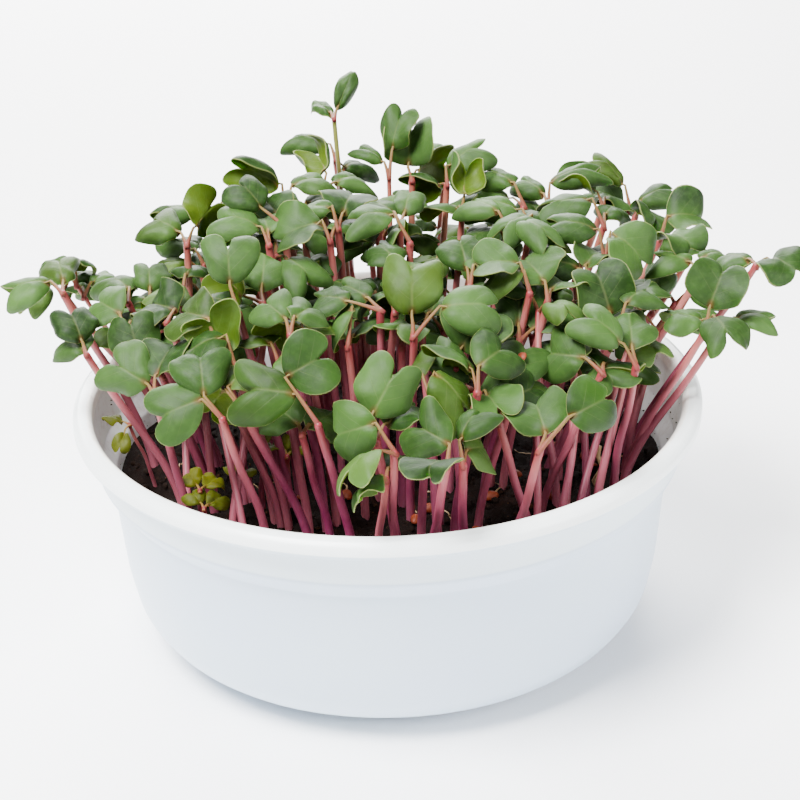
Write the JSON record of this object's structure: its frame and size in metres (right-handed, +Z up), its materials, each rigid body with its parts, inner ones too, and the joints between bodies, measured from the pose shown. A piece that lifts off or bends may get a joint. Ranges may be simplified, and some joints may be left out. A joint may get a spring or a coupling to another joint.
{
  "type": "bowl of radish microgreens",
  "caption": "Round plastic bowl of dark potting soil, full of radish microgreens: pink stems fan out over the rim and carry notched green seed leaves.",
  "frame": {"origin": "centre of the flat underside of the bowl, on the bowl's axis", "axes": "+Z up along the bowl's axis; +X to the right and +Y towards the back, seen from the pictured front"},
  "size_m": [0.1872, 0.1605, 0.1213],
  "materials": {
    "bowl": "smooth white polypropylene, faintly translucent and bluish",
    "soil": "moist dark potting soil, rough and granular",
    "stems": "juicy pink to magenta plant stem, soft sheen",
    "leaves": "soft green seed leaf, matte with a slight sheen"
  },
  "bodies": {
    "root": {"bowl": "bowl", "leaves_01": "leaves", "leaves_02": "leaves", "leaves_03": "leaves", "leaves_04": "leaves", "leaves_05": "leaves", "leaves_06": "leaves", "leaves_07": "leaves", "leaves_08": "leaves", "leaves_09": "leaves", "leaves_10": "leaves", "leaves_11": "leaves", "leaves_12": "leaves", "leaves_13": "leaves", "leaves_14": "leaves", "leaves_15": "leaves", "leaves_16": "leaves", "leaves_17": "leaves", "leaves_18": "leaves", "leaves_19": "leaves", "leaves_20": "leaves", "leaves_21": "leaves", "leaves_22": "leaves", "leaves_23": "leaves", "leaves_24": "leaves", "leaves_25": "leaves", "leaves_26": "leaves", "leaves_27": "leaves", "leaves_28": "leaves", "leaves_29": "leaves", "leaves_30": "leaves", "leaves_31": "leaves", "leaves_32": "leaves", "leaves_33": "leaves", "leaves_34": "leaves", "leaves_35": "leaves", "leaves_36": "leaves", "leaves_37": "leaves", "leaves_38": "leaves", "leaves_39": "leaves", "leaves_40": "leaves", "leaves_41": "leaves", "leaves_42": "leaves", "leaves_43": "leaves", "leaves_44": "leaves", "leaves_45": "leaves", "leaves_46": "leaves", "leaves_47": "leaves", "leaves_48": "leaves", "leaves_49": "leaves", "leaves_50": "leaves", "leaves_51": "leaves", "leaves_52": "leaves", "soil": "soil", "stems_1": "stems", "stems_2": "stems", "stems_3": "stems", "stems_4": "stems", "stems_5": "stems", "stems_6": "stems"}
  },
  "joints": []
}
